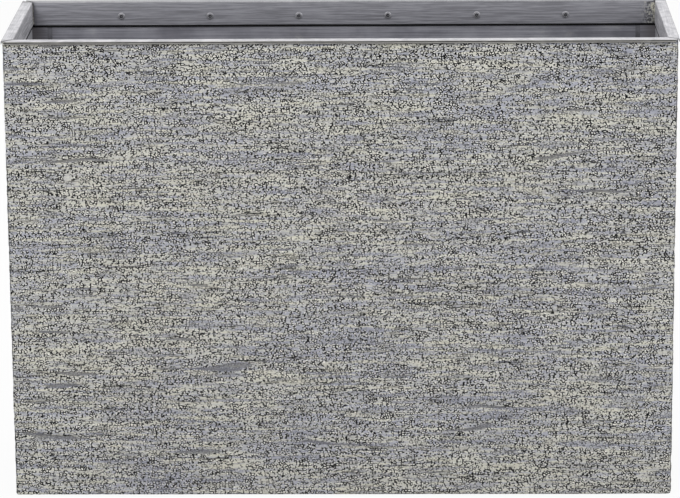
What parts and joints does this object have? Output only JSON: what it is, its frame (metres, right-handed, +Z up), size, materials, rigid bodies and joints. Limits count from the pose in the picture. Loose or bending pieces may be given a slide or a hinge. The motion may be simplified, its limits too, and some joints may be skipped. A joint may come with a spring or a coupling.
{
  "type": "stone composite planter",
  "caption": "Tall narrow rectangular floor planter: rough stone-composite shell, lift-out sheet-metal liner with riveted, mitred metal rim caps and pull-out drain plugs.",
  "frame": {"origin": "centre of the underside, on the floor", "axes": "+X along the length to the right of a viewer at the front, -Y out of the front face, +Z up"},
  "size_m": [0.7032, 0.2282, 0.495],
  "materials": {
    "stone_composite": "rough cast stone face, grey with cream dry-brushed bloom and dark pits",
    "galvanised_sheet": "dull galvanised sheet, lightly weathered",
    "rivet_metal": "satin",
    "sealant": "grey cured sealant, dirty, paler where it is fresh",
    "black_rubber": "matt"
  },
  "bodies": {
    "shell": {"front_wall": "stone_composite", "back_wall": "stone_composite", "left_wall": "stone_composite", "right_wall": "stone_composite", "floor_slab": "stone_composite", "support_strip_left": "black_rubber", "support_strip_right": "black_rubber"},
    "liner": {"liner_wrap": "galvanised_sheet", "liner_end_left": "galvanised_sheet", "liner_end_right": "galvanised_sheet", "rim_front": "galvanised_sheet", "rim_back": "galvanised_sheet", "rim_left": "galvanised_sheet", "rim_right": "galvanised_sheet", "rim_rivets_front": "rivet_metal", "rim_rivets_back": "rivet_metal", "end_rivets_left": "rivet_metal", "end_rivets_right": "rivet_metal", "seam_sealant_left": "sealant", "seam_sealant_right": "sealant", "rim_corner_sealant": "sealant", "rim_seal": "black_rubber"},
    "plug_left": {"drain_plug_left": "black_rubber"},
    "plug_right": {"drain_plug_right": "black_rubber"}
  },
  "joints": [
    {"name": "liner_lift", "type": "slide", "parent": "shell", "child": "liner", "axis": [0, 0, 1], "range_m": [0, 0.5]},
    {"name": "plug_left_pull", "type": "slide", "parent": "liner", "child": "plug_left", "axis": [0, 0, 1], "range_m": [0, 0.05]},
    {"name": "plug_right_pull", "type": "slide", "parent": "liner", "child": "plug_right", "axis": [0, 0, 1], "range_m": [0, 0.05]}
  ]
}
